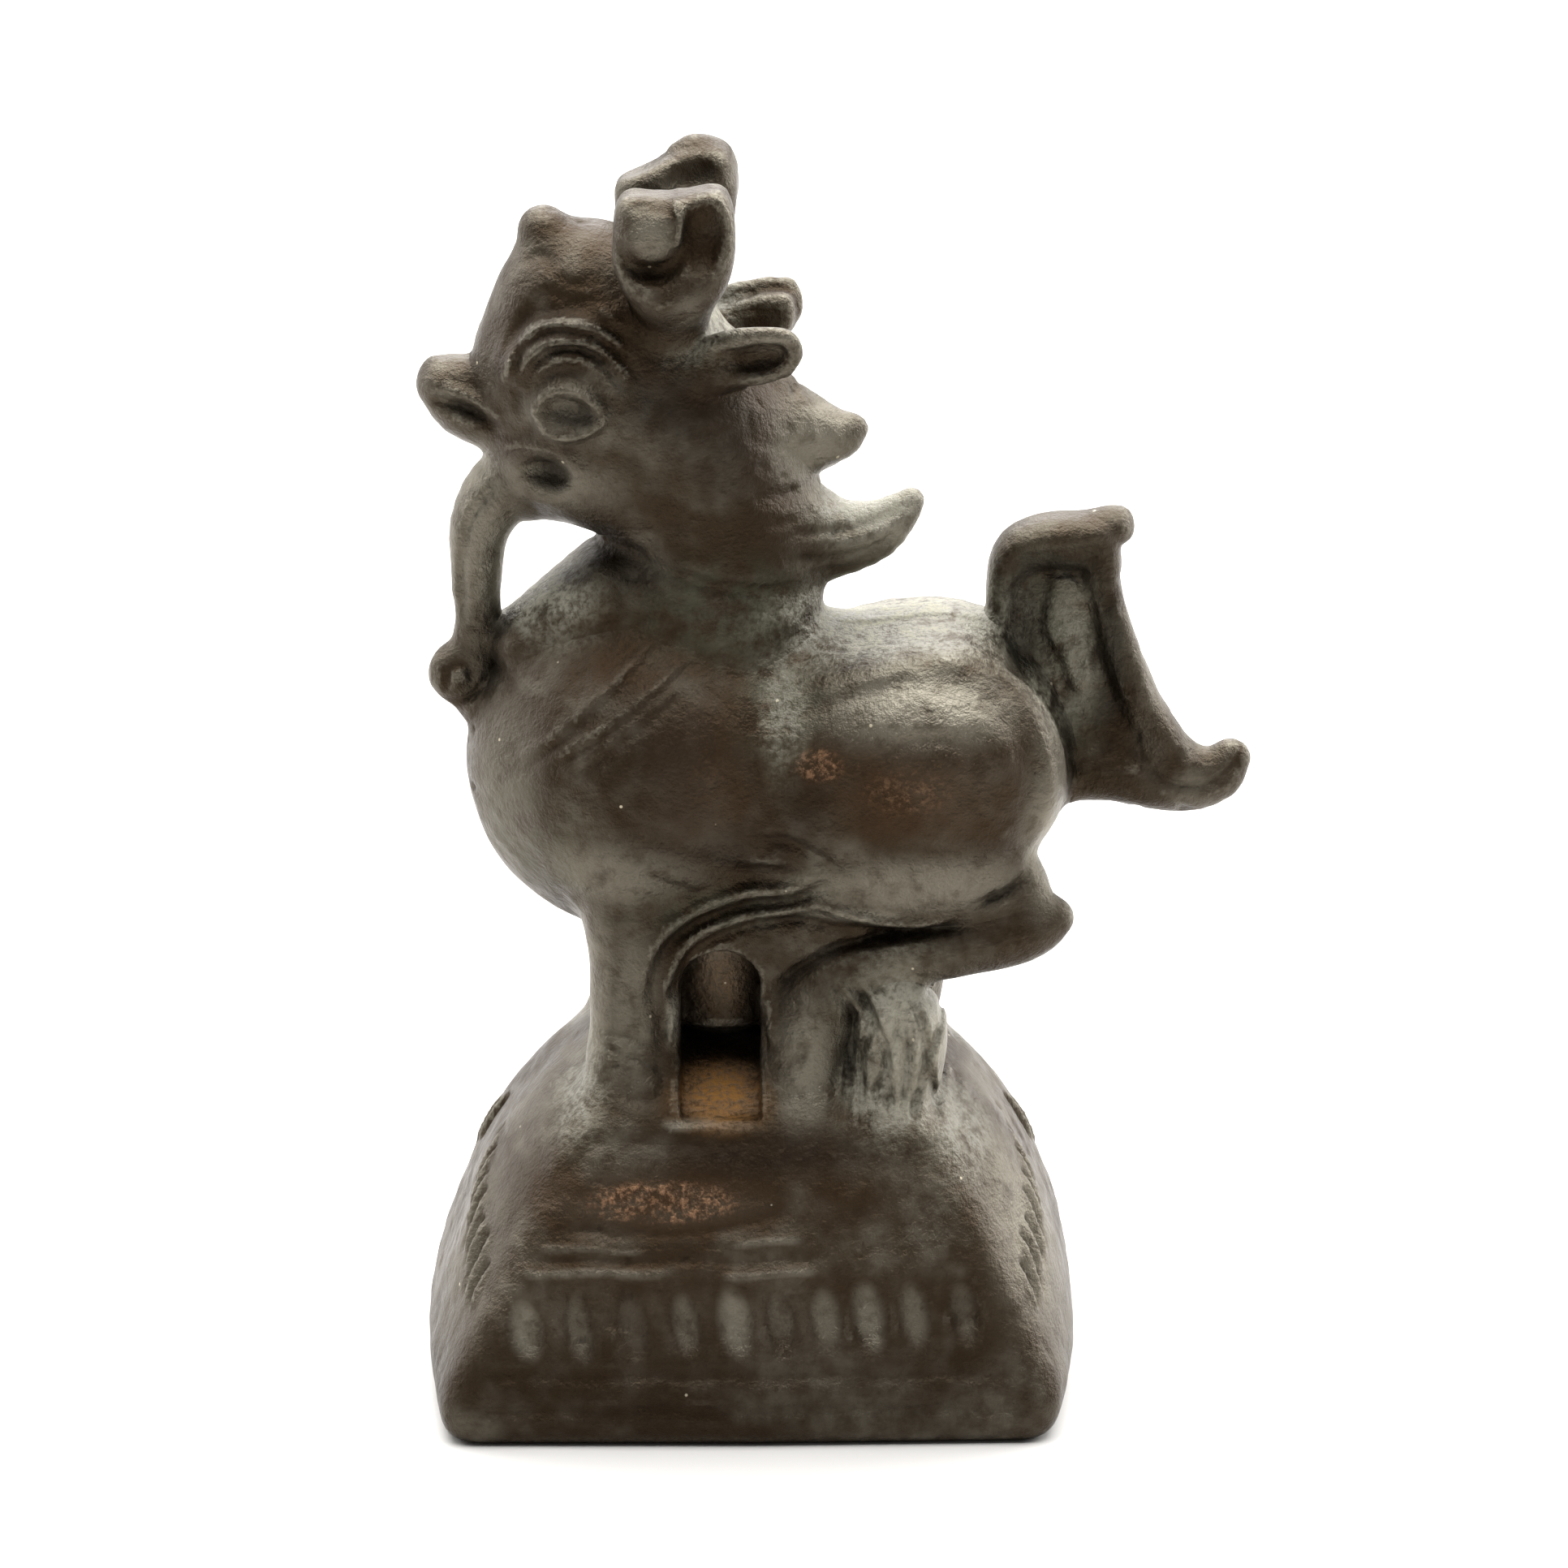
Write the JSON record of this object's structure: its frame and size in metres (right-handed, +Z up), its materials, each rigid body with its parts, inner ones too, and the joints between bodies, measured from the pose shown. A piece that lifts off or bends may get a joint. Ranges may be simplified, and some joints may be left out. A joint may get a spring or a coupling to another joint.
{
  "type": "animal-shaped balance weight",
  "caption": "Cast bronze balance weight: a horned, bearded beast with an upright tail standing on an eight-sided bell-shaped pedestal.",
  "frame": {"origin": "middle of the pedestal's underside", "axes": "+Z up, -X towards the beast's chest and nose, -Y the beast's left side, which the picture shows"},
  "size_m": [0.025, 0.0164, 0.0377],
  "materials": {
    "bronze": "satin brown-black patina, rubbed coppery on the high places, dusty in the recesses"
  },
  "bodies": {
    "root": {"beard": "bronze", "belly_block": "bronze", "ear_left": "bronze", "ear_right": "bronze", "eye_left": "bronze", "eye_right": "bronze", "foreleg_left": "bronze", "foreleg_right": "bronze", "head": "bronze", "hindleg_left": "bronze", "hindleg_right": "bronze", "horn_left": "bronze", "horn_right": "bronze", "knob": "bronze", "mane_lower": "bronze", "mane_upper": "bronze", "neck": "bronze", "pearl_left": "bronze", "pearl_right": "bronze", "pedestal": "bronze", "snout": "bronze", "tail_blade": "bronze", "tail_curl": "bronze", "tail_hook": "bronze", "thigh_left": "bronze", "thigh_right": "bronze", "trunk": "bronze", "tuft_left": "bronze", "tuft_right": "bronze"}
  },
  "joints": []
}
